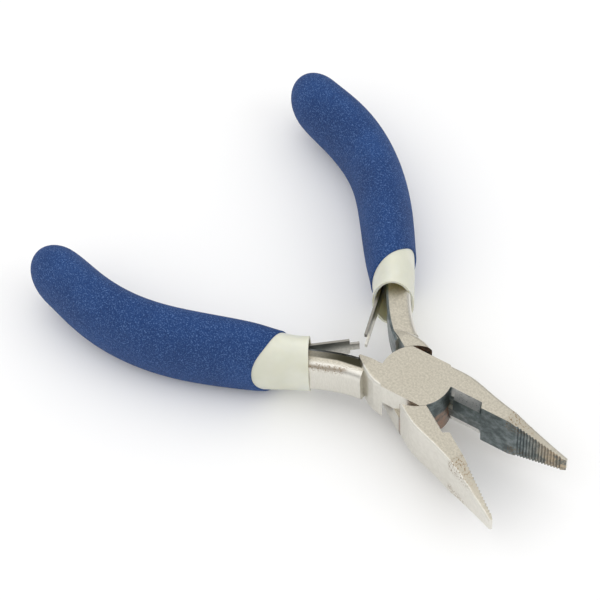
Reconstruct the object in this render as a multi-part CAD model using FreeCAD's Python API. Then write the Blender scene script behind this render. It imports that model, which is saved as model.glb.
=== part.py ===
import FreeCAD, Part
import os

# Mini long-nose pliers, millimetres.  Origin: centre of the pivot rivet at mid-thickness.
# +X runs along the bisector towards the jaw tips, +Z along the rivet, +Y to the side of
# the upper lever's jaw.  The two levers are one forging used twice, the second one turned
# over about X.  Everything below is drawn with the jaws closed and then opened.

V = FreeCAD.Vector
Z_AXIS = V(0, 0, 1)
X_AXIS = V(1, 0, 0)

# rest pose: each lever is turned this far from the closed position
HALF_OPEN_DEG = 16.4

# head and lap joint
HALF_THICK = 5.0          # the head is 10 mm thick
ENVELOPE_REACH = 20.0     # cutting solids reach this far, well past the part
LAP_GAP = 0.02            # each plate stops this far from the mid-plane
FACE_GAP = 0.02           # each grip face stops this far from the closing plane
PLATE_R = 6.45            # round end of a lap plate
RECESS_R = 6.50           # round pocket the other plate turns in
HEAD_HALF_W = 5.15        # flat sides of the head
RIVET_R = 2.0
RIVET_HEAD_R = 2.9
RIVET_HEAD_DEPTH = 0.9
RIVET_CLEARANCE = 0.05    # running fit in the lower lever

# jaw
JAW_TIP_X = 30.2
JAW_TAPER_X = 18.8        # full thickness up to here
TIP_HALF_THICK = 1.5
TIP_WIDTH = 0.95
GRIP_PAD_X = 13.25        # the smooth pad begins here
TEETH_X = 20.2            # the serrations begin here
TOOTH_PITCH = 0.6
TOOTH_DEPTH = 0.28
JAW_EDGE_ROUND = 0.55

# side cutter
CUT_ROOT_X = 6.55
CUT_END_X = 12.75
CUT_WALL_Y = 1.15         # the pocket stands back this far at the flat sides
CUT_STEP = (0.35, 2.6)    # where the bevel steepens: y, and height from mid-thickness
CUT_OVERLAP = 0.3         # the blade runs this far into the metal round it

# shoulder, neck and handle bar
NECK_Y = -0.9
NECK_X = -11.0
NECK_SLOPE_X = -8.8       # behind this the neck thins down to the bar
SHOULDER_TIP = (-3.9, -5.13)
BAR_WIDTH = 4.4
BAR_HALF_H = 4.1
BAR_ROUND = {1: 2.2, -1: 1.2}   # outer edges of the bar, on its lap side and its other side
BAR_BEVEL = {1: 1.2, -1: 0.4}   # ground bevels on the inner edges, likewise
SHOULDER_ROUND = 0.8
BAR_END_X = -64.0

# sleeve and grip
SLEEVE_WALL = 0.5
FIT_GAP = 0.03            # between pieces that sit in each other
GRIP_END_X = -76.2

# leaf springs
LEAF_THICK = 0.45
LEAF_HALF_H = 2.0
LEAF_HINGE = (-24.5, -5.0)
TONGUE_HALF_H = 0.9
FORK_SLOT_HALF_H = 1.15
LEAF_END_CUT = 1.6        # length of the tongue and of the fork's slot


def plan_face(edges):
    return Part.Face(Part.Wire(edges))


def polyline(points):
    return [Part.makeLine(V(*a), V(*b)) for a, b in zip(points, points[1:])]


def spline(points):
    curve = Part.BSplineCurve()
    curve.interpolate([V(x, y, 0) for x, y in points])
    return curve


def prism(points, z_low, z_high):
    """Straight-sided plan outline, extruded between two heights."""
    closed = [(x, y, z_low) for x, y in points]
    closed.append(closed[0])
    return plan_face(polyline(closed)).extrude(V(0, 0, z_high - z_low))


def disc(radius, z_low, z_high):
    return Part.makeCylinder(radius, z_high - z_low, V(0, 0, z_low))


def slab(x_low, x_high, y_low, y_high, z_low, z_high):
    size = (x_high - x_low, y_high - y_low, z_high - z_low)
    return Part.makeBox(*size, V(x_low, y_low, z_low))


def long_edges(shape, chosen):
    """Edges whose middle point satisfies the test chosen(x, y, z)."""
    picked = []
    for edge in shape.Edges:
        middle = edge.valueAt((edge.FirstParameter + edge.LastParameter) / 2)
        if edge.Length > 4.0 and chosen(middle.x, middle.y, middle.z):
            picked.append(edge)
    return picked


def side_envelope(profile):
    """Room between a side-view profile of (x, half thickness) and its mirror image."""
    lower = [(x, -z) for x, z in reversed(profile)]
    outline = [(x, -ENVELOPE_REACH, z) for x, z in profile + lower]
    outline.append(outline[0])
    return plan_face(polyline(outline)).extrude(V(0, 2 * ENVELOPE_REACH, 0))


def toothed_edge():
    """Grip face seen from above: V grooves running the height of the jaw."""
    count = int((JAW_TIP_X - 0.5 - TEETH_X) / TOOTH_PITCH)
    points = []
    for i in range(count):
        start = TEETH_X + i * TOOTH_PITCH
        points.append((start, FACE_GAP, 0))
        points.append((start + TOOTH_PITCH / 2, FACE_GAP + TOOTH_DEPTH, 0))
    points.append((TEETH_X + count * TOOTH_PITCH, FACE_GAP, 0))
    return points


def jaw():
    """Jaw with its flat side, half-round back, grip teeth and side cutter."""
    inner = [(0, CUT_WALL_Y, 0), (CUT_END_X, CUT_WALL_Y, 0), (GRIP_PAD_X, FACE_GAP, 0)]
    inner += toothed_edge()
    inner.append((JAW_TIP_X, FACE_GAP + 0.25, 0))
    inner.append((JAW_TIP_X - 0.1, TIP_WIDTH, 0))
    back = [(JAW_TIP_X - 0.1, TIP_WIDTH), (24.0, 1.72), (18.0, 2.75), (12.7, 4.02),
            (9.6, 4.85), (6.6, HEAD_HALF_W)]
    edges = polyline(inner)
    edges.append(spline(back).toShape())
    edges += polyline([(6.6, HEAD_HALF_W, 0), (0, HEAD_HALF_W, 0), (0, CUT_WALL_Y, 0)])
    body = plan_face(edges).extrude(V(0, 0, 2 * HALF_THICK))
    body.translate(V(0, 0, -HALF_THICK))
    body = body.common(side_envelope([(-1.0, HALF_THICK), (JAW_TAPER_X, HALF_THICK),
                                      (JAW_TIP_X, TIP_HALF_THICK)]))
    ridge = long_edges(body, lambda x, y, z: x > 7 and y > 0.9 and abs(z) > 1.0)
    return body.makeFillet(JAW_EDGE_ROUND, ridge)


def cutter_blade():
    """Wedge-shaped cutting edge on the closing plane."""
    step_y, step_z = CUT_STEP
    half = [(CUT_WALL_Y + CUT_OVERLAP, HALF_THICK), (CUT_WALL_Y, HALF_THICK), (step_y, step_z)]
    mirrored = [(y, -z) for y, z in reversed(half)]
    start = CUT_ROOT_X - CUT_OVERLAP
    section = [(start, y, z) for y, z in half + [(FACE_GAP, 0)] + mirrored]
    section.append(section[0])
    return plan_face(polyline(section)).extrude(V(GRIP_PAD_X + 0.05 - start, 0, 0))


def rim_edges(block, chosen):
    """Edges in the flat top and bottom faces whose middle satisfies chosen(x, y)."""
    picked = []
    for edge in block.Edges:
        middle = edge.valueAt((edge.FirstParameter + edge.LastParameter) / 2)
        in_flat = abs(abs(middle.z) - HALF_THICK) < 0.01
        if in_flat and chosen(middle.x, middle.y):
            picked.append(edge)
    return picked


def shoulder():
    """Full-thickness block behind the joint, running into the neck."""
    tip_x, tip_y = SHOULDER_TIP
    outline = [(0, NECK_Y), (NECK_X, NECK_Y), (-11.2, -1.2), (-9.3, -3.1), (-7.5, -4.2),
               (-6.0, -4.8), (-4.9, -5.0), (tip_x, tip_y), (0, tip_y)]
    block = prism(outline, -HALF_THICK, HALF_THICK)
    back_edges = rim_edges(block, lambda x, y: NECK_X < x < -5.0 and y < -2.0)
    block = block.makeFillet(SHOULDER_ROUND, back_edges)
    return block.common(side_envelope([(1.0, HALF_THICK), (NECK_SLOPE_X, HALF_THICK),
                                       (NECK_X - 1.5, BAR_HALF_H)]))


def bar_axis():
    """Centreline of the handle bar in plan."""
    return spline([(-9.0, -2.55), (-12.2, -3.1), (-16.4, -4.5), (-20.5, -6.3), (-27.0, -9.1),
                   (-34.0, -11.4), (-42.0, -13.6), (-50.0, -15.2), (-58.0, -15.0),
                   (BAR_END_X, -13.7)])


def offset_points(curve, distance, count):
    """Points beside a plan curve; a positive distance lies towards the closing plane."""
    points = []
    first, last = curve.FirstParameter, curve.LastParameter
    for i in range(count):
        at = first + (last - first) * i / (count - 1)
        centre = curve.value(at)
        along = curve.tangent(at)[0]
        points.append((centre.x + distance * along.y, centre.y - distance * along.x))
    return points


def bar():
    """Handle bar: flat inside face, rounded outside, bevelled inner edges."""
    axis = bar_axis()
    inner = offset_points(axis, BAR_WIDTH / 2, 12)
    outer = offset_points(axis, -BAR_WIDTH / 2, 12)
    edges = [spline(inner).toShape(), spline(outer).toShape()]
    edges.append(Part.makeLine(V(*inner[0], 0), V(*outer[0], 0)))
    edges.append(Part.makeLine(V(*inner[-1], 0), V(*outer[-1], 0)))
    body = plan_face(Part.__sortEdges__(edges)).extrude(V(0, 0, 2 * BAR_HALF_H))
    body.translate(V(0, 0, -BAR_HALF_H))

    for side in (1, -1):
        def beside_axis(x, y, z):
            """How far a point on this face's rim lies from the axis, outwards positive."""
            nearest = axis.value(axis.parameter(V(x, y, 0)))
            if side * z < BAR_HALF_H - 0.1:
                return 0
            return nearest.y - y

        outer_edges = long_edges(body, lambda x, y, z: beside_axis(x, y, z) > 1)
        body = body.makeFillet(BAR_ROUND[side], outer_edges)
        inner_edges = long_edges(body, lambda x, y, z: beside_axis(x, y, z) < -1)
        body = body.makeChamfer(BAR_BEVEL[side], inner_edges)
    return body


def rivet_shape(extra):
    """Rivet with flush countersunk heads; extra widens it to make a running hole."""
    shaft = disc(RIVET_R + extra, -HALF_THICK, HALF_THICK)
    head = Part.makeCone(RIVET_R + extra, RIVET_HEAD_R + extra, RIVET_HEAD_DEPTH,
                         V(0, 0, HALF_THICK - RIVET_HEAD_DEPTH))
    foot = head.copy()
    foot.rotate(V(0, 0, 0), X_AXIS, 180)
    return shaft.fuse([head, foot]).removeSplitter()


def lever(rivet_extra):
    """One forged lever with its lap plate above the mid-plane, jaws closed."""
    solid = jaw().fuse([cutter_blade(), shoulder()])
    solid = solid.cut(disc(RECESS_R, -HALF_THICK - 1, HALF_THICK + 1))
    plate = disc(RECESS_R, LAP_GAP, HALF_THICK)
    flats = slab(-RECESS_R, RECESS_R, -HEAD_HALF_W, HEAD_HALF_W, LAP_GAP, HALF_THICK)
    plate = plate.common(flats)
    free_rim = disc(RECESS_R + 1, LAP_GAP, HALF_THICK).cut(disc(PLATE_R, -1, HALF_THICK + 1))
    solid = solid.fuse([plate, bar()])
    relieved = solid.cut(free_rim.common(rim_sector()))
    bored = relieved.cut(rivet_shape(rivet_extra))
    return bored.removeSplitter()


def rim_sector():
    """Where the plate's round rim is free: facing the other lever's two pockets."""
    reach = RECESS_R + 2
    upper_back = prism([(0, 0), (-reach, NECK_Y), (-reach, reach), (0, reach)],
                       0, HALF_THICK + 1)
    lower_front = prism([(0, 0), (reach, CUT_WALL_Y), (reach, -reach), (0, -reach)],
                        0, HALF_THICK + 1)
    return upper_back.fuse(lower_front)


def handle_axis():
    """Centreline of the sleeve and grip in plan, from the rim to the end cap."""
    return spline([(-19.45, -4.75), (-24.0, -6.95), (-30.0, -9.2), (-38.0, -12.15),
                   (-46.0, -14.45), (-54.0, -15.3), (-62.0, -14.45), (-70.0, -12.5),
                   (GRIP_END_X, -11.6)])


def axis_fraction(x):
    """Parameter of the handle centreline at a given x."""
    axis = handle_axis()
    low, high = axis.FirstParameter, axis.LastParameter
    for _ in range(40):
        middle = (low + high) / 2
        if axis.value(middle).x > x:
            low = middle
        else:
            high = middle
    return low


def oval_wire(x, half_width, half_height):
    """Upright oval section across the handle, centred on its axis at the given x."""
    axis = handle_axis()
    at = axis_fraction(x)
    centre = axis.value(at)
    along = axis.tangent(at)[0]
    side = V(-along.y, along.x, 0)
    tall = centre + V(0, 0, half_height)
    wide = centre + side * half_width
    oval = Part.Ellipse(tall, wide, centre)
    return Part.Wire(oval.toShape())


def oval_body(stations, shrink):
    """Smooth body through oval stations (x, half width, half height)."""
    wires = [oval_wire(x, w - shrink, h - shrink) for x, w, h in stations]
    return Part.makeLoft(wires, True, False)


# stations along the handle: x of the section, half width, half height
SLEEVE_STATIONS = [(-19.45, 3.85, 6.7), (-24.0, 3.95, 7.0), (-29.0, 4.4, 7.9),
                   (-31.5, 4.5, 8.0)]
MOUTH_STATIONS = [(-18.0, 3.85, 6.7), (-24.0, 3.95, 6.9), (-28.5, 4.2, 7.0)]
GRIP_STATIONS = [(-22.0, 4.1, 7.0), (-29.0, 4.75, 8.3), (-38.0, 5.05, 8.7),
                 (-50.0, 4.95, 8.7), (-60.0, 5.0, 8.3), (-68.0, 4.95, 7.5),
                 (-72.4, 4.3, 6.1), (-75.1, 2.9, 4.0), (GRIP_END_X, 0.9, 1.3)]


def sleeve():
    """Pale sleeve: open mouth round the bar, with room for the leaf spring inside."""
    body = oval_body(SLEEVE_STATIONS, 0)
    body = body.cut(oval_body(MOUTH_STATIONS, SLEEVE_WALL))
    return body.cut(bar())


def behind_front_edge():
    """Everything behind the grip's front edge, which runs aslant across the handle."""
    front = spline([(-24.8, 1.0), (-25.0, -3.2), (-25.1, -7.5), (-25.5, -10.2),
                    (-26.5, -12.5), (-27.6, -15.0)])
    edges = [front.toShape()]
    far_x, far_y, near_y = GRIP_END_X - 10, -40, 10
    edges += polyline([(-27.6, -15.0, 0), (-27.6, far_y, 0), (far_x, far_y, 0),
                       (far_x, near_y, 0), (-24.8, near_y, 0), (-24.8, 1.0, 0)])
    body = plan_face(edges).extrude(V(0, 0, 2 * ENVELOPE_REACH))
    body.translate(V(0, 0, -ENVELOPE_REACH))
    return body


def grip():
    """Soft grip over the sleeve and the bar."""
    body = oval_body(GRIP_STATIONS, 0).common(behind_front_edge())
    body = body.cut(oval_body(SLEEVE_STATIONS, -FIT_GAP))
    return body.cut(bar())


def leaf_axis():
    """Plan curve of a relaxed leaf spring, from the root in the sleeve to the free end."""
    return spline([(-27.0, -6.25), LEAF_HINGE, (-22.0, -3.28), (-17.9, 0.1), (-14.0, 3.35)])


def leaf(forked):
    """Leaf spring strip; one leaf ends in a tongue and the other in a fork."""
    axis = leaf_axis()
    near = offset_points(axis, LEAF_THICK / 2, 9)
    far = offset_points(axis, -LEAF_THICK / 2, 9)
    edges = [spline(near).toShape(), spline(far).toShape()]
    edges.append(Part.makeLine(V(*near[0], 0), V(*far[0], 0)))
    edges.append(Part.makeLine(V(*near[-1], 0), V(*far[-1], 0)))
    strip = plan_face(Part.__sortEdges__(edges)).extrude(V(0, 0, 2 * LEAF_HALF_H))
    strip.translate(V(0, 0, -LEAF_HALF_H))
    end = axis.value(axis.LastParameter)
    cut_from = end.x - LEAF_END_CUT * 0.8
    if forked:
        slot = slab(cut_from, end.x + 1, 0, 6, -FORK_SLOT_HALF_H, FORK_SLOT_HALF_H)
        return strip.cut(slot)
    above = slab(cut_from, end.x + 1, 0, 6, TONGUE_HALF_H, LEAF_HALF_H + 1)
    below = slab(cut_from, end.x + 1, 0, 6, -LEAF_HALF_H - 1, -TONGUE_HALF_H)
    return strip.cut(above).cut(below)


def open_upper(shape):
    """Turn a closed-pose shape to the upper lever's place."""
    placed = shape.copy()
    placed.rotate(V(0, 0, 0), Z_AXIS, HALF_OPEN_DEG)
    return placed


def open_lower(shape):
    """Turn a closed-pose shape over and to the lower lever's place."""
    placed = shape.copy()
    placed.rotate(V(0, 0, 0), X_AXIS, 180)
    placed.rotate(V(0, 0, 0), Z_AXIS, -HALF_OPEN_DEG)
    return placed


def write(node, shape):
    solids = shape.Solids
    assert len(solids) == 1, (node, len(solids))
    assert solids[0].isValid(), node
    solids[0].exportStep(os.path.join("parts", node + ".step"))


def build():
    os.makedirs("parts", exist_ok=True)
    write("lever_upper", open_upper(lever(0.0)))
    write("lever_lower", open_lower(lever(RIVET_CLEARANCE)))
    write("pivot_rivet", rivet_shape(0.0))
    sleeve_shape = sleeve()
    write("sleeve_upper", open_upper(sleeve_shape))
    write("sleeve_lower", open_lower(sleeve_shape))
    grip_shape = grip()
    write("grip_upper", open_upper(grip_shape))
    write("grip_lower", open_lower(grip_shape))
    write("leaf_spring_tongue", open_upper(leaf(False)))
    write("leaf_spring_fork", open_lower(leaf(True)))


build()
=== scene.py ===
import math
from collections import namedtuple

import bmesh
import bpy
import numpy as np
from mathutils import Matrix, Vector


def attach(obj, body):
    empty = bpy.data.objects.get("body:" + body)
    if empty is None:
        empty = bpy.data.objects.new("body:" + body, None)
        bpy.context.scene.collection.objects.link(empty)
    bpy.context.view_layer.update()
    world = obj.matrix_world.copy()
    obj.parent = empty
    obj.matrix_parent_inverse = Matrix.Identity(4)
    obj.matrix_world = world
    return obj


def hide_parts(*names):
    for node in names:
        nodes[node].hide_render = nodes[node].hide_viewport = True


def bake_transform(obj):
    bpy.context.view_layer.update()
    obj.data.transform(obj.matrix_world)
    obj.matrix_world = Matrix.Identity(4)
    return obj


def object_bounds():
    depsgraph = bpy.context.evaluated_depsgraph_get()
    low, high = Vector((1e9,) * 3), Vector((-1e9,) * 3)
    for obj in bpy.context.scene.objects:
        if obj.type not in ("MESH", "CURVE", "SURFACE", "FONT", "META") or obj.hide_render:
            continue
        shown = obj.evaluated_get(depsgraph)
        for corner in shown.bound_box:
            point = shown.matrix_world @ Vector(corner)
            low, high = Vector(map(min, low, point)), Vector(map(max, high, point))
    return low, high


# Looks of a pair of mini long-nose pliers.  Metres, in the CAD frame: pivot at the origin,
# +X towards the jaw tips.  Shapes that repeat on both levers are drawn in millimetres with
# the jaws closed (the "lever frame") and then turned to each lever's place at rest.

MM = 0.001
HALF_OPEN = math.radians(16.4)

# camera: direction it looks in, and where the pivot sits in its view
CAMERA_AZIMUTH = math.radians(-52.92)
CAMERA_ELEVATION = math.radians(53.14)
CAMERA_ROLL = math.radians(-4.21)
CAMERA_DISTANCE = 0.3892
CAMERA_SHIFT_RIGHT = 0.020667
CAMERA_SHIFT_UP = -0.016293
CAMERA_LENS = 131.2
CAMERA_SENSOR = 36.0
CAMERA_CLIP_START = 0.01

# stage
FLOOR_HALF_SIZE = 3.0
FLOOR_COLOUR = (0.93, 0.93, 0.93, 1)
LIGHT_TARGET = (-0.02, 0, 0)
SKY_AT_HORIZON = 0.35
SKY_OVERHEAD = 1.0
SKY_FADE_END = 0.7        # height of a unit direction at which the sky is full

# curves: step used for a tangent, in shares of the curve
TANGENT_STEP = 1e-3

# grip: centreline (x, y) and sections (x, half width, half height)
GRIP_AXIS = [(-19.45, -4.75), (-24.0, -6.95), (-30.0, -9.2), (-38.0, -12.15),
             (-46.0, -14.45), (-54.0, -15.3), (-62.0, -14.45), (-70.0, -12.5),
             (-76.2, -11.6)]
GRIP_STATIONS = [(-22.0, 4.1, 7.0), (-29.0, 4.75, 8.3), (-38.0, 5.05, 8.7),
                 (-50.0, 4.95, 8.7), (-60.0, 5.0, 8.3), (-68.0, 4.95, 7.5),
                 (-76.2, 4.6, 6.4)]
CAP_START_X = -69.5       # the end begins to round off here
CAP_END_X = -76.2
CAP_POWER = 2.2
# slanting front edge, seen from above
FRONT_EDGE = [(-24.8, 1.0), (-25.0, -3.2), (-25.1, -7.5), (-25.5, -10.2), (-26.5, -12.5),
              (-27.6, -15.0)]
FRONT_EDGE_SAMPLES = 80
FRONT_SEARCH_END = 0.4    # the front edge lies in this share of the centreline
FRONT_SEARCH_STEPS = 30
# rolled front lip: share of the centreline behind the edge, and depth under the skin
FRONT_LIP = [(0.004, 0.9), (0.0, 0.42), (0.0, 0.24), (0.0015, 0.08), (0.004, 0.0)]
SKIN_START = 0.004
GRIP_RINGS = 150
GRIP_AROUND = 96

# leaf springs
LEAF_AXIS = [(-27.0, -6.25), (-24.5, -5.0), (-22.0, -3.28), (-17.9, 0.1), (-14.0, 3.35)]
LEAF_THICK = 0.45
LEAF_HALF_H = 2.0
LEAF_END_CUT = 1.8        # length of the tongue and of the fork's slot
TONGUE_HALF_H = 0.9
SLOT_HALF_H = 1.15
LEAF_ROWS = 60            # rows of points up to the cut, and along it
LEAF_END_ROWS = 10
LEAF_LENGTH_SAMPLES = 50

# colours
FLAT_SHADE, FLAT_LIGHT = (0.44, 0.41, 0.34), (0.62, 0.58, 0.49)
WARM_NICKEL, BRIGHT_NICKEL = (0.70, 0.68, 0.62), (0.76, 0.74, 0.68)
# painted shade: colour given to inner faces and joint walls that lie in shade, paler in random
# patches
PAINTED_SHADE_DARK, PAINTED_SHADE_PALE = (0.10, 0.125, 0.13), (0.28, 0.325, 0.33)
STAIN = (0.22, 0.135, 0.055)
# painted reflection: warm pinkish light reflected in the joint wall's lower rim
WARM_REFLECTION = (0.42, 0.27, 0.20)
# painted highlight: gold-brown glints on the teeth near the tip
TEETH_PAINTED_HIGHLIGHT = (0.58, 0.43, 0.26)
# painted light: pale band on the cutter's bevels
CUTTER_PAINTED_LIGHT = (0.90, 0.89, 0.87)
# painted reflection: dark greenish-brown reflected on the bar's inner flat
BAR_REFLECTION_OLIVE = (0.045, 0.042, 0.027)
RIVET_SHADE, RIVET_LIGHT = (0.43, 0.40, 0.33), (0.61, 0.57, 0.48)
SPRING_SHADE, SPRING_LIGHT = (0.70, 0.68, 0.63), (0.88, 0.86, 0.80)
# painted reflection: darkening over the upper part of the leaf strips
LEAF_DARK_REFLECTION = (0.16, 0.15, 0.13)
CREAM_SHADE, CREAM_LIGHT = (0.68, 0.68, 0.56), (0.76, 0.76, 0.65)
BLUE_SHADE, BLUE_LIGHT = (0.010, 0.044, 0.165), (0.015, 0.060, 0.210)
BLUE_SPECK, BLUE_PORE = (0.13, 0.24, 0.50), (0.006, 0.028, 0.12)

# noise textures: scale per metre, detail, roughness
GRAIN = (2600.0, 6.0, 0.7)
BLOTCH = (600.0, 5.0, 0.65)
BRUSHED = (900.0, 4.0, 0.6)
SPOTS = (2600.0, 6.0, 0.75)

# Soft edges of the marks on a lever, in lever-frame millimetres: where a mark is absent,
# then where it is full.
INSIDE_JOINT = (6.62, 6.56)       # distance from the rivet
JOINT_FRONT = (3.0, 4.0)          # along x
CUTTER_START = (6.5, 6.9)         # along x
CUTTER_END = (12.9, 12.5)         # along x
CUTTER_BAND = (2.55, 2.7)         # height from mid-thickness
WARM_REFLECTION_RIM = (0.5, 0.0)            # along z
TEETH_HIGHLIGHT_SPAN = (21.0, 29.0)       # along x
PAST_TAPER = (-0.5, 0.1)          # distance past the line where the jaw starts to thin
NEAR_TAPER = (9.0, 0.4)           # likewise
OFF_MIDDLE = (1.5, 3.0)           # height from mid-thickness
BEHIND_HEAD = (-11.0, -12.5)      # along x
LAP_SIDE = (1.6, 2.8)             # along z
STREAK = (0.75, 0.2)              # distance from the streak on the bar
STREAK_CORE = (0.4, 0.0)          # likewise
REFLECTION_EDGE = (-0.2, 0.15)       # distance past the outer edge of the painted dark reflection
REFLECTION_FRONT = (-12.1, -12.4)    # along x, slanting with y
REFLECTION_BACK = (-24.0, -13.0)     # along x

TAPER_X = 18.4
# straight line of the bar just behind the head: y = slope * x + offset
BAR_SLOPE = 0.3855
BAR_OFFSET = 1.6
STREAK_OFFSET = 1.7       # the streak lies this far outside that line
REFLECTION_OFFSET = 0.1      # and the outer edge of the painted dark reflection this far
REFLECTION_WIDENS_X = -14.0  # ahead of this the painted dark reflection grows wider
REFLECTION_WIDENING = 0.2
REFLECTION_SLANT = 0.95

Axes = namedtuple("Axes", "x y z")


# ---------------------------------------------------------------- curves and meshes

def natural_spline(points):
    """Smooth curve through points, returned as a function of its own parameter 0..1."""
    points = np.array(points, float)
    steps = np.linalg.norm(np.diff(points, axis=0), axis=1)
    knots = np.concatenate([[0.0], np.cumsum(steps)])
    n = len(knots)
    h = np.diff(knots)
    system = np.zeros((n, n))
    right = np.zeros((n, points.shape[1]))
    system[0, 0] = 1.0
    system[-1, -1] = 1.0
    slopes = np.diff(points, axis=0) / h[:, None]
    for i in range(1, n - 1):
        system[i, i - 1:i + 2] = [h[i - 1], 2 * (h[i - 1] + h[i]), h[i]]
        right[i] = 6 * (slopes[i] - slopes[i - 1])
    bend = np.linalg.solve(system, right)

    def at(t):
        s = np.clip(np.atleast_1d(t), 0, 1) * knots[-1]
        i = np.clip(np.searchsorted(knots, s) - 1, 0, n - 2)
        a = ((knots[i + 1] - s) / h[i])[:, None]
        b = ((s - knots[i]) / h[i])[:, None]
        step = (h[i] ** 2 / 6)[:, None]
        return (a * points[i] + b * points[i + 1]
                + ((a ** 3 - a) * bend[i] + (b ** 3 - b) * bend[i + 1]) * step)
    return at


def centre_and_direction(axis, t):
    """Points of a plan curve at t, and its unit tangents there."""
    ahead = axis(np.minimum(t + TANGENT_STEP, 1)) - axis(np.maximum(t - TANGENT_STEP, 0))
    return axis(t), ahead / np.linalg.norm(ahead, axis=1)[:, None]


def to_lever(co, lower):
    """Lever-frame millimetres to the CAD frame in metres, at rest."""
    co = np.array(co, float) * MM
    if lower:
        co = co * [1, -1, -1]
    c, s = math.cos(HALF_OPEN), math.sin(-HALF_OPEN if lower else HALF_OPEN)
    x = co[:, 0] * c - co[:, 1] * s
    y = co[:, 0] * s + co[:, 1] * c
    return np.stack([x, y, co[:, 2]], 1)


def mesh_object(name, co, faces, smooth=True):
    mesh = bpy.data.meshes.new(name)
    mesh.from_pydata([tuple(p) for p in co], [], faces)
    mesh.validate()
    mesh.update()
    if smooth:
        mesh.polygons.foreach_set("use_smooth", [True] * len(mesh.polygons))
    obj = bpy.data.objects.new(name, mesh)
    bpy.context.collection.objects.link(obj)
    return obj


def recalc_normals(obj):
    work = bmesh.new()
    work.from_mesh(obj.data)
    bmesh.ops.recalc_face_normals(work, faces=work.faces)
    work.to_mesh(obj.data)
    work.free()


# ---------------------------------------------------------------- grip

def station_sizes():
    """Half width and half height as a smooth function of x, closing at the end cap."""
    rows = np.array(GRIP_STATIONS)[::-1]

    def at(x):
        x = np.clip(x, rows[0, 0], rows[-1, 0])
        fine = np.interp(x, rows[:, 0], np.arange(len(rows)))
        low = np.clip(fine.astype(int), 0, len(rows) - 2)
        part = (fine - low)[:, None]
        before = rows[np.maximum(low - 1, 0), 1:]
        start = rows[low, 1:]
        end = rows[low + 1, 1:]
        after = rows[np.minimum(low + 2, len(rows) - 1), 1:]
        size = (start + 0.5 * part * (end - before
                + part * (2 * before - 5 * start + 4 * end - after
                + part * (3 * (start - end) + after - before))))
        into_cap = np.clip((CAP_START_X - x) / (CAP_START_X - CAP_END_X), 0, 1)
        rounded = (1 - into_cap ** CAP_POWER) ** (1 / CAP_POWER)
        return size * rounded[:, None]
    return at


def grip_section(axis, stations, t, angle, depth):
    """Points under the grip's skin, at t along the axis and an angle round it."""
    centre, along = centre_and_direction(axis, t)
    size = stations(centre[:, 0])
    half_w = size[:, 0] - depth
    half_h = size[:, 1] - depth
    side = np.cos(angle) * half_w
    x = centre[:, 0] - along[:, 1] * side
    y = centre[:, 1] + along[:, 0] * side
    return np.stack([x, y, np.sin(angle) * half_h], 1)


def front_parameter(axis, stations, angle):
    """Where along the axis the slanting front edge meets the skin at this angle."""
    edge = natural_spline(FRONT_EDGE)(np.linspace(0, 1, FRONT_EDGE_SAMPLES))
    low, high = np.zeros_like(angle), np.full_like(angle, FRONT_SEARCH_END)
    for _ in range(FRONT_SEARCH_STEPS):
        middle = (low + high) / 2
        point = grip_section(axis, stations, middle, angle, 0)
        limit = np.interp(-point[:, 1], -edge[:, 1], edge[:, 0])
        in_front = point[:, 0] > limit
        low = np.where(in_front, middle, low)
        high = np.where(in_front, high, middle)
    return (low + high) / 2


def grip_rings():
    """Rings of points from inside the rolled front lip to the end cap."""
    axis = natural_spline(GRIP_AXIS)
    stations = station_sizes()
    angle = np.linspace(0, 2 * math.pi, GRIP_AROUND, endpoint=False)
    start = front_parameter(axis, stations, angle)
    rings = []
    for back, depth in FRONT_LIP:
        rings.append(grip_section(axis, stations, start + back, angle, depth))
    for k in range(1, GRIP_RINGS):
        left = 1 - k / (GRIP_RINGS - 1)
        share = 1 - left ** 2
        t = start + SKIN_START + (1 - start - SKIN_START) * share
        rings.append(grip_section(axis, stations, t, angle, 0))
    return rings


def tube_faces(rings, around):
    """Quads between rings of points, and triangles from the last ring to one end point."""
    faces = []
    for i in range(rings - 1):
        a, b = i * around, (i + 1) * around
        for j in range(around):
            k = (j + 1) % around
            faces.append((a + j, a + k, b + k, b + j))
    last, end_point = (rings - 1) * around, rings * around
    for j in range(around):
        faces.append((last + j, last + (j + 1) % around, end_point))
    return faces


def grip(name, lower):
    rings = grip_rings()
    end_point = rings[-1].mean(0)
    co = np.concatenate(rings + [end_point[None, :]])
    obj = mesh_object(name, to_lever(co, lower), tube_faces(len(rings), GRIP_AROUND))
    recalc_normals(obj)
    return obj


# ---------------------------------------------------------------- leaf springs

def leaf_corner(place, side):
    """Number of the strip's point at a (row, level) on side 0 or 1."""
    row, level = place
    return (row * 2 + side) * 4 + level


def leaf_points(axis, ts, levels):
    centre, along = centre_and_direction(axis, ts)
    co = []
    for row in range(len(ts)):
        for side in (-LEAF_THICK / 2, LEAF_THICK / 2):
            x = centre[row, 0] - along[row, 1] * side
            y = centre[row, 1] + along[row, 0] * side
            for z in levels:
                co.append((x, y, z))
    return co


def leaf_faces(cells):
    """Both sides of each kept (row, band) cell, and an edge wherever no neighbour is kept."""
    faces = []
    for row, band in sorted(cells):
        near_low, near_high = (row, band), (row, band + 1)
        far_low, far_high = (row + 1, band), (row + 1, band + 1)
        for side in (0, 1):
            corners = (near_low, far_low, far_high, near_high)
            faces.append(tuple(leaf_corner(place, side) for place in corners))
        for neighbour, first, second in (((row, band - 1), near_low, far_low),
                                         ((row, band + 1), near_high, far_high),
                                         ((row - 1, band), near_low, near_high),
                                         ((row + 1, band), far_low, far_high)):
            if neighbour not in cells:
                faces.append((leaf_corner(first, 0), leaf_corner(second, 0),
                              leaf_corner(second, 1), leaf_corner(first, 1)))
    return faces


def only_used(co, faces):
    """The same mesh without the points that no face uses."""
    used = sorted({v for face in faces for v in face})
    renumber = {v: n for n, v in enumerate(used)}
    return [co[v] for v in used], [tuple(renumber[v] for v in face) for face in faces]


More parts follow.
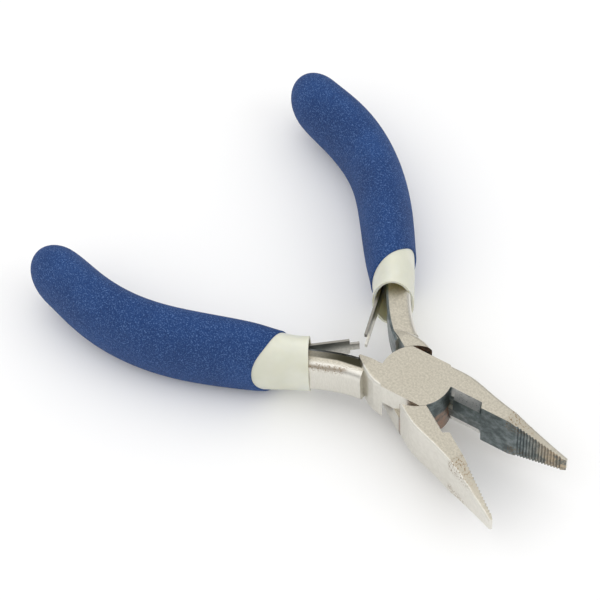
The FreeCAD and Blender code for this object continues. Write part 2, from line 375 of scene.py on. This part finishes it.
def leaf(name, forked, lower):
    """Strip of spring steel with a tongue or a fork at its free end."""
    axis = natural_spline(LEAF_AXIS)
    samples = axis(np.linspace(0, 1, LEAF_LENGTH_SAMPLES))
    length = np.linalg.norm(np.diff(samples, axis=0), axis=1).sum()
    cut = 1 - LEAF_END_CUT / length
    ts = np.concatenate([np.linspace(0, cut, LEAF_ROWS), np.linspace(cut, 1, LEAF_END_ROWS)[1:]])
    if forked:
        inner_h, kept_bands = SLOT_HALF_H, (0, 2)
    else:
        inner_h, kept_bands = TONGUE_HALF_H, (1,)
    levels = [-LEAF_HALF_H, -inner_h, inner_h, LEAF_HALF_H]
    cells = set()
    for row in range(len(ts) - 1):
        for band in range(len(levels) - 1):
            if row < LEAF_ROWS - 1 or band in kept_bands:
                cells.add((row, band))
    co, faces = only_used(leaf_points(axis, ts, levels), leaf_faces(cells))
    obj = mesh_object(name, to_lever(co, lower), faces, smooth=False)
    recalc_normals(obj)
    return obj


# ---------------------------------------------------------------- shader helpers

class Nodes:
    """Short way to add and link shader nodes."""

    def __init__(self, name):
        self.material = bpy.data.materials.new(name)
        self.material.use_nodes = True
        self.tree = self.material.node_tree
        self.tree.nodes.clear()
        self.shader = self.add("ShaderNodeBsdfPrincipled")
        out = self.add("ShaderNodeOutputMaterial")
        self.link(self.shader.outputs["BSDF"], out.inputs["Surface"])
        coords = self.add("ShaderNodeTexCoord")
        self.position = coords.outputs["Object"]

    def add(self, kind, **settings):
        node = self.tree.nodes.new(kind)
        for key, value in settings.items():
            setattr(node, key, value)
        return node

    def link(self, source, target):
        self.tree.links.new(source, target)

    def feed(self, socket, value):
        if isinstance(value, bpy.types.NodeSocket):
            self.link(value, socket)
        else:
            socket.default_value = value

    def set(self, name, value):
        self.feed(self.shader.inputs[name], value)

    def math(self, operation, a, b=0.0):
        node = self.add("ShaderNodeMath", operation=operation)
        self.feed(node.inputs[0], a)
        self.feed(node.inputs[1], b)
        return node.outputs[0]

    def times(self, first, *others):
        for other in others:
            first = self.math("MULTIPLY", first, other)
        return first

    def plus(self, a, b):
        return self.math("ADD", a, b)

    def larger(self, a, b):
        return self.math("MAXIMUM", a, b)

    def size_of(self, value):
        return self.math("ABSOLUTE", value)

    def ramp(self, value, absent, full):
        """Smooth 0..1 step of value, 0 at absent and 1 at full, in either direction."""
        node = self.add("ShaderNodeMapRange", interpolation_type="SMOOTHSTEP")
        self.feed(node.inputs["Value"], value)
        node.inputs["From Min"].default_value = absent
        node.inputs["From Max"].default_value = full
        return node.outputs["Result"]

    def noise(self, scale, detail, rough, stretch=None):
        node = self.add("ShaderNodeTexNoise")
        node.inputs["Scale"].default_value = scale
        node.inputs["Detail"].default_value = detail
        node.inputs["Roughness"].default_value = rough
        vector = self.position
        if stretch:
            mapping = self.add("ShaderNodeMapping")
            mapping.inputs["Scale"].default_value = stretch
            self.link(self.position, mapping.inputs["Vector"])
            vector = mapping.outputs["Vector"]
        self.link(vector, node.inputs["Vector"])
        return node.outputs["Fac"]

    def mix(self, factor, a, b):
        """Blend of two colours, each a colour or a socket."""
        node = self.add("ShaderNodeMix", data_type="RGBA")
        self.feed(node.inputs["Factor"], factor)
        for socket, value in ((node.inputs["A"], a), (node.inputs["B"], b)):
            if isinstance(value, tuple):
                value = (*value, 1.0)
            self.feed(socket, value)
        return node.outputs["Result"]

    def mix_value(self, factor, a, b):
        node = self.add("ShaderNodeMix", data_type="FLOAT")
        self.feed(node.inputs["Factor"], factor)
        self.feed(node.inputs["A"], a)
        self.feed(node.inputs["B"], b)
        return node.outputs["Result"]

    def bump(self, height, strength, distance):
        node = self.add("ShaderNodeBump")
        node.inputs["Strength"].default_value = strength
        node.inputs["Distance"].default_value = distance
        self.feed(node.inputs["Height"], height)
        self.set("Normal", node.outputs["Normal"])

    def in_lever_frame(self, vector, scale, lower):
        """A vector of the CAD frame turned back to the lever frame and scaled."""
        turn = self.add("ShaderNodeVectorRotate", rotation_type="Z_AXIS")
        turn.inputs["Angle"].default_value = HALF_OPEN if lower else -HALF_OPEN
        self.link(vector, turn.inputs["Vector"])
        split = self.add("ShaderNodeSeparateXYZ")
        self.link(turn.outputs["Vector"], split.inputs["Vector"])
        x, y, z = split.outputs
        turned_over = -scale if lower else scale
        return Axes(self.times(x, scale), self.times(y, turned_over), self.times(z, turned_over))

    def lever_axes(self, lower):
        """Position in millimetres and normal, both in the lever frame."""
        geometry = self.add("ShaderNodeNewGeometry")
        to_object = self.add("ShaderNodeVectorTransform", vector_type="NORMAL",
                             convert_from="WORLD", convert_to="OBJECT")
        self.link(geometry.outputs["True Normal"], to_object.inputs["Vector"])
        return (self.in_lever_frame(self.position, 1 / MM, lower),
                self.in_lever_frame(to_object.outputs["Vector"], 1.0, lower))


# ---------------------------------------------------------------- lever metal

def inner_faces(m, place, normal):
    """Faces that look at the closing plane: ahead of the rivet the jaw's, behind it the bar's."""
    ahead = m.math("SIGN", place.x)
    toward_plane = m.times(normal.y, ahead, -1.0)
    own_side = m.ramp(m.times(place.y, ahead), -1.0, -0.5)
    return m.times(m.ramp(toward_plane, 0.25, 0.75), own_side)


def joint_walls(m, place, normal):
    """Round wall of the pocket in the lap joint, and the front rim of the plate."""
    radius = m.math("SQRT", m.plus(m.times(place.x, place.x), m.times(place.y, place.y)))
    outward = m.plus(m.times(place.x, normal.x), m.times(place.y, normal.y))
    pocket = m.ramp(outward, -2.0, -5.0)
    upright = m.ramp(m.size_of(normal.z), 0.6, 0.3)
    front_rim = m.times(m.ramp(place.x, *JOINT_FRONT), upright)
    return m.times(m.ramp(radius, *INSIDE_JOINT), m.larger(pocket, front_rim))


def bright_colour(m, flat_face, grain):
    """Ground flats and smoother, lightly brushed sides."""
    brushed = m.noise(*BRUSHED, stretch=(1.0, 9.0, 1.0))
    flat = m.mix(m.ramp(grain, 0.3, 0.7), FLAT_SHADE, FLAT_LIGHT)
    side = m.mix(m.ramp(brushed, 0.3, 0.7), WARM_NICKEL, BRIGHT_NICKEL)
    return m.mix(flat_face, side, flat)


def painted_shade_colour(m, place, inner, wall, blotch, grain, lower):
    """Painted shade for the inner faces and joint walls, with a warm painted reflection on the
    lower rim, a pale band of painted light on the cutter and gold-brown painted highlights on the
    teeth.
    """
    # painted reflection: warm pinkish patches on the joint walls, on the upper lever only below
    # mid-thickness
    rim = 1.0 if lower else m.ramp(place.z, *WARM_REFLECTION_RIM)
    warm_reflection = m.times(wall, rim, m.ramp(blotch, 0.3, 0.6))
    # painted light: pale grainy band on the cutter's bevels above and below mid-thickness, over
    # the painted shade
    cutter = m.times(m.ramp(place.x, *CUTTER_START), m.ramp(place.x, *CUTTER_END))
    band = m.times(cutter, m.ramp(m.size_of(place.z), *CUTTER_BAND), inner)
    # painted highlight: gold-brown glints in patches on the teeth towards the tip
    teeth_highlight = m.times(m.ramp(place.x, *TEETH_HIGHLIGHT_SPAN), m.ramp(blotch, 0.35, 0.6), 0.7)
    # painted shade, paler in random patches
    colour = m.mix(m.ramp(blotch, 0.35, 0.72), PAINTED_SHADE_DARK, PAINTED_SHADE_PALE)
    colour = m.mix(warm_reflection, colour, WARM_REFLECTION)
    colour = m.mix(m.times(band, m.ramp(grain, 0.2, 0.5)), colour, CUTTER_PAINTED_LIGHT)
    return m.mix(teeth_highlight, colour, TEETH_PAINTED_HIGHLIGHT)


def across_bar(m, place):
    """Distance from the bar's straight part, positive towards the closing plane."""
    beside = m.math("SUBTRACT", place.y, m.times(place.x, BAR_SLOPE))
    return m.math("SUBTRACT", beside, BAR_OFFSET)


def brown_stain(m, place, across, lap_side):
    """Spots past the line where the jaw starts to thin, and a streak along the bar."""
    past_line = m.math("SUBTRACT", place.x, TAPER_X)
    on_jaw = m.times(m.ramp(past_line, *PAST_TAPER), m.ramp(past_line, *NEAR_TAPER),
                     m.ramp(m.size_of(place.z), *OFF_MIDDLE))
    behind_head = m.times(m.ramp(place.x, *BEHIND_HEAD), lap_side)
    from_streak = m.size_of(m.plus(across, STREAK_OFFSET))
    on_bar = m.times(behind_head, m.ramp(from_streak, *STREAK))
    spots = m.ramp(m.noise(*SPOTS), 0.48, 0.62)
    spotted = m.times(spots, m.larger(on_jaw, on_bar), 0.9)
    core = m.times(behind_head, m.ramp(from_streak, *STREAK_CORE), 0.55)
    return m.larger(spotted, core)


def bar_dark_reflection(m, place, across, lap_side):
    """Painted dark reflection on the flat along the inner edge of the bar, widest and darkest
    next to the head.
    """
    ahead = m.larger(m.plus(place.x, -REFLECTION_WIDENS_X), 0.0)
    past_edge = m.plus(m.plus(across, REFLECTION_OFFSET), m.times(ahead, REFLECTION_WIDENING))
    slanting_x = m.plus(place.x, m.times(place.y, REFLECTION_SLANT))
    return m.times(m.ramp(past_edge, *REFLECTION_EDGE), lap_side,
                   m.ramp(slanting_x, *REFLECTION_FRONT), m.ramp(place.x, *REFLECTION_BACK))


def lever_metal(name, lower):
    """Plated forging: ground flats, smoother sides, brown stains; inner faces and joint walls
    painted as shade, with painted reflections and highlights.
    """
    m = Nodes(name)
    place, normal = m.lever_axes(lower)
    grain = m.noise(*GRAIN)
    blotch = m.noise(*BLOTCH)
    flat_face = m.ramp(m.size_of(normal.z), 0.80, 0.95)
    inner = inner_faces(m, place, normal)
    wall = joint_walls(m, place, normal)
    # faces in shade (inner faces and joint walls) get painted shade
    dark = m.larger(inner, wall)
    across = across_bar(m, place)
    lap_side = m.ramp(place.z, *LAP_SIDE)
    stain = brown_stain(m, place, across, lap_side)
    bar_reflection = bar_dark_reflection(m, place, across, lap_side)

    # painted shade takes the place of the bright metal on those faces
    colour = m.mix(dark, bright_colour(m, flat_face, grain),
                   painted_shade_colour(m, place, inner, wall, blotch, grain, lower))
    # painted reflection: dark greenish-brown on the bar's inner flat, next to the head
    colour = m.mix(bar_reflection, colour, BAR_REFLECTION_OLIVE)
    m.set("Base Color", m.mix(stain, colour, STAIN))
    m.set("Metallic", 1.0)
    rough = m.mix_value(dark, m.mix_value(flat_face, 0.32, 0.48), 0.36)
    rough = m.plus(rough, m.times(m.math("SUBTRACT", grain, 0.5), 0.16))
    m.set("Roughness", m.plus(rough, m.times(stain, 0.2)))
    m.bump(m.plus(grain, m.times(blotch, 0.4)), 0.16, 0.00006)
    return m.material


# ---------------------------------------------------------------- other materials

def rivet_metal():
    m = Nodes("rivet_metal")
    grain = m.noise(*GRAIN)
    m.set("Base Color", m.mix(m.ramp(grain, 0.3, 0.7), RIVET_SHADE, RIVET_LIGHT))
    m.set("Metallic", 1.0)
    m.set("Roughness", m.plus(0.38, m.times(grain, 0.16)))
    m.bump(grain, 0.22, 0.00006)
    return m.material


def spring_metal():
    """Bright strip, with a painted dark reflection towards its upper edge."""
    m = Nodes("spring_metal")
    grain = m.noise(1800.0, 6.0, 0.7)
    long_marks = m.noise(700.0, 4.0, 0.6, stretch=(1.0, 1.0, 8.0))
    light = m.mix(m.ramp(grain, 0.35, 0.7), SPRING_SHADE, SPRING_LIGHT)
    split = m.add("ShaderNodeSeparateXYZ")
    m.link(m.position, split.inputs["Vector"])
    # painted reflection: darker towards the strip's upper edge, by height
    upper_dark_reflection = m.times(m.ramp(split.outputs["Z"], -0.6 * MM, 1.4 * MM), 0.8)
    m.set("Base Color", m.mix(upper_dark_reflection, light, LEAF_DARK_REFLECTION))
    m.set("Metallic", 1.0)
    m.set("Roughness", m.plus(0.24, m.times(long_marks, 0.2)))
    m.bump(m.plus(grain, long_marks), 0.12, 0.00004)
    return m.material


def sleeve_plastic():
    """Satin cream plastic with a little light inside it."""
    m = Nodes("sleeve_plastic")
    cloud = m.noise(180.0, 3.0, 0.5)
    grain = m.noise(2400.0, 4.0, 0.6)
    m.set("Base Color", m.mix(m.ramp(cloud, 0.3, 0.75), CREAM_SHADE, CREAM_LIGHT))
    m.set("Roughness", m.plus(0.38, m.times(grain, 0.14)))
    m.set("Subsurface Weight", 0.35)
    m.set("Subsurface Scale", 0.0015)
    m.set("Subsurface Radius", (1.0, 0.85, 0.5))
    m.bump(m.plus(grain, cloud), 0.10, 0.00008)
    return m.material


def grip_foam():
    """Matt blue soft plastic with a close, slightly flocked grain."""
    m = Nodes("grip_foam")
    speck = m.noise(3600.0, 5.0, 0.8)
    pores = m.noise(2200.0, 5.0, 0.75)
    cloud = m.noise(120.0, 3.0, 0.5)
    colour = m.mix(m.ramp(cloud, 0.3, 0.75), BLUE_SHADE, BLUE_LIGHT)
    colour = m.mix(m.times(m.ramp(speck, 0.50, 0.64), 0.75), colour, BLUE_SPECK)
    colour = m.mix(m.times(m.ramp(pores, 0.47, 0.36), 0.6), colour, BLUE_PORE)
    m.set("Base Color", colour)
    m.set("Roughness", 0.78)
    m.set("Specular IOR Level", 0.3)
    m.bump(m.plus(speck, pores), 0.8, 0.00022)
    return m.material


def floor_paint():
    m = Nodes("floor_paint")
    m.set("Base Color", FLOOR_COLOUR)
    m.set("Roughness", 0.9)
    return m.material


def dress(obj, material):
    obj.data.materials.clear()
    obj.data.materials.append(material)


# ---------------------------------------------------------------- stage

def add_floor(level):
    far = FLOOR_HALF_SIZE
    co = [(-far, -far, level), (far, -far, level), (far, far, level), (-far, far, level)]
    floor = mesh_object("floor", co, [(0, 1, 2, 3)], smooth=False)
    dress(floor, floor_paint())


def add_light(name, place, size, watts, colour=(1, 1, 1)):
    """Square soft light that points at the tool."""
    data = bpy.data.lights.new(name, "AREA")
    data.shape = "RECTANGLE"
    data.size = size
    data.size_y = size
    data.energy = watts
    data.color = colour
    light = bpy.data.objects.new(name, data)
    light.location = place
    direction = Vector(LIGHT_TARGET) - Vector(place)
    light.rotation_euler = direction.to_track_quat("-Z", "Y").to_euler()
    bpy.context.collection.objects.link(light)


def add_camera():
    ce, se = math.cos(CAMERA_ELEVATION), math.sin(CAMERA_ELEVATION)
    forward = Vector((math.sin(CAMERA_AZIMUTH) * ce, math.cos(CAMERA_AZIMUTH) * ce, -se))
    level_right = forward.cross(Vector((0, 0, 1))).normalized()
    level_up = level_right.cross(forward)
    c, s = math.cos(CAMERA_ROLL), math.sin(CAMERA_ROLL)
    right = level_right * c + level_up * s
    up = level_up * c - level_right * s
    place = -(right * CAMERA_SHIFT_RIGHT + up * CAMERA_SHIFT_UP + forward * CAMERA_DISTANCE)
    data = bpy.data.cameras.new("camera")
    data.lens = CAMERA_LENS
    data.sensor_width = CAMERA_SENSOR
    data.clip_start = CAMERA_CLIP_START
    camera = bpy.data.objects.new("camera", data)
    turn = Matrix((right, up, -forward)).transposed()
    camera.matrix_world = Matrix.Translation(place) @ turn.to_4x4()
    bpy.context.collection.objects.link(camera)
    bpy.context.scene.camera = camera


def add_sky():
    """White sky that is brightest overhead, shown without any tone curve."""
    world = bpy.data.worlds.new("world")
    world.use_nodes = True
    tree = world.node_tree
    coords = tree.nodes.new("ShaderNodeTexCoord")
    split = tree.nodes.new("ShaderNodeSeparateXYZ")
    fade = tree.nodes.new("ShaderNodeMapRange")
    fade.interpolation_type = "SMOOTHSTEP"
    fade.inputs["From Min"].default_value = 0.0
    fade.inputs["From Max"].default_value = SKY_FADE_END
    fade.inputs["To Min"].default_value = SKY_AT_HORIZON
    fade.inputs["To Max"].default_value = SKY_OVERHEAD
    tree.links.new(coords.outputs["Generated"], split.inputs["Vector"])
    tree.links.new(split.outputs["Z"], fade.inputs["Value"])
    background = tree.nodes["Background"]
    background.inputs["Color"].default_value = (1, 1, 1, 1)
    tree.links.new(fade.outputs["Result"], background.inputs["Strength"])
    bpy.context.scene.world = world
    bpy.context.scene.view_settings.view_transform = "Standard"


# ---------------------------------------------------------------- pieces

def add_grip(which, lower, material):
    piece = grip("soft_grip_" + which, lower)
    dress(piece, material)
    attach(piece, which + "_lever")
    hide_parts("grip_" + which)


def add_leaf(kind, lower, material):
    strip = leaf("leaf_strip_" + kind, kind == "fork", lower)
    dress(strip, material)
    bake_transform(strip)
    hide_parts("leaf_spring_" + kind)


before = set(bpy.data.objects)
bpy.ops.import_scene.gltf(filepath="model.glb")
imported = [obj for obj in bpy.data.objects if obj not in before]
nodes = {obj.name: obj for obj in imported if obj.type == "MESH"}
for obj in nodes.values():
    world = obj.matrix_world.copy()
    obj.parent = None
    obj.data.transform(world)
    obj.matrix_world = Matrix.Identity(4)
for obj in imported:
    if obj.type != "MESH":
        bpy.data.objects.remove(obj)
cad_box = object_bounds()

dress(nodes["pivot_rivet"], rivet_metal())
cream = sleeve_plastic()
foam = grip_foam()
steel = spring_metal()
for which, kind, lower in (("upper", "tongue", False), ("lower", "fork", True)):
    dress(nodes["lever_" + which], lever_metal("lever_metal_" + which, lower))
    dress(nodes["sleeve_" + which], cream)
    add_grip(which, lower, foam)
    add_leaf(kind, lower, steel)

add_floor(cad_box[0].z)
add_sky()
add_camera()
add_light("key", (-0.25, -0.35, 0.75), 1.6, 3.0, colour=(1.0, 0.985, 0.96))
add_light("fill", (0.55, 0.25, 0.45), 0.5, 0.8)
